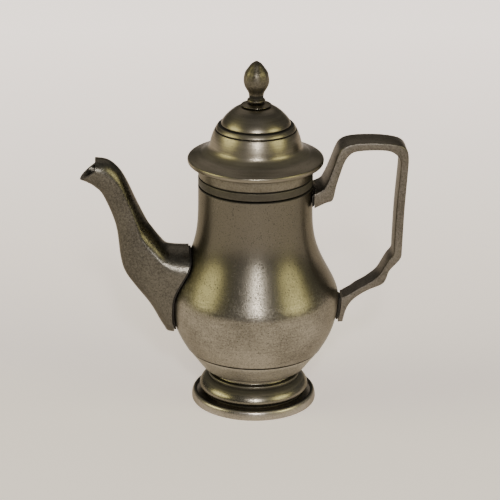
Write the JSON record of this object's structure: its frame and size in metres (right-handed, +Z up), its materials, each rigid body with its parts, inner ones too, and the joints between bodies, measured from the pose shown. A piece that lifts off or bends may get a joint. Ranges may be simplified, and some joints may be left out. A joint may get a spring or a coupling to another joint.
{
  "type": "miniature lidded coffee pot",
  "caption": "Miniature cast pewter coffee pot with a full belly, turned foot, swan-neck spout, strap handle and a loose domed lid with a bud finial",
  "frame": {"origin": "on the table, under the middle of the pot's whole length from spout tip to handle; the upright axis of the turned pieces stands 2.9 mm towards +X from it", "axes": "+Z up through the finial, +X towards the handle, -X towards the spout, +Y towards the back when the spout is on the left"},
  "size_m": [0.0822, 0.0428, 0.0903],
  "materials": {
    "aged_pewter": "aged pewter, turned and then dulled to a brown-grey with fine casting grain",
    "buffed_pewter": "pewter buffed after turning, soft sheen",
    "cast_pewter": "pewter left rough from the mould",
    "dark_solder": "dark tarnished solder"
  },
  "bodies": {
    "pot": {"foot_base_ring": "aged_pewter", "foot_stem": "buffed_pewter", "bottom_cup": "aged_pewter", "body": "aged_pewter", "rim_collar": "aged_pewter", "spout": "cast_pewter", "spout_solder": "dark_solder", "handle": "cast_pewter", "handle_upper_solder": "dark_solder", "handle_lower_solder": "dark_solder"},
    "lid": {"lid": "buffed_pewter", "lid_bezel": "aged_pewter", "finial_collar": "buffed_pewter", "finial": "cast_pewter", "finial_washer": "aged_pewter"}
  },
  "joints": [
    {"name": "lid_lift", "type": "slide", "parent": "pot", "child": "lid", "axis": [0, 0, 1], "range_m": [0, 0.03]}
  ]
}
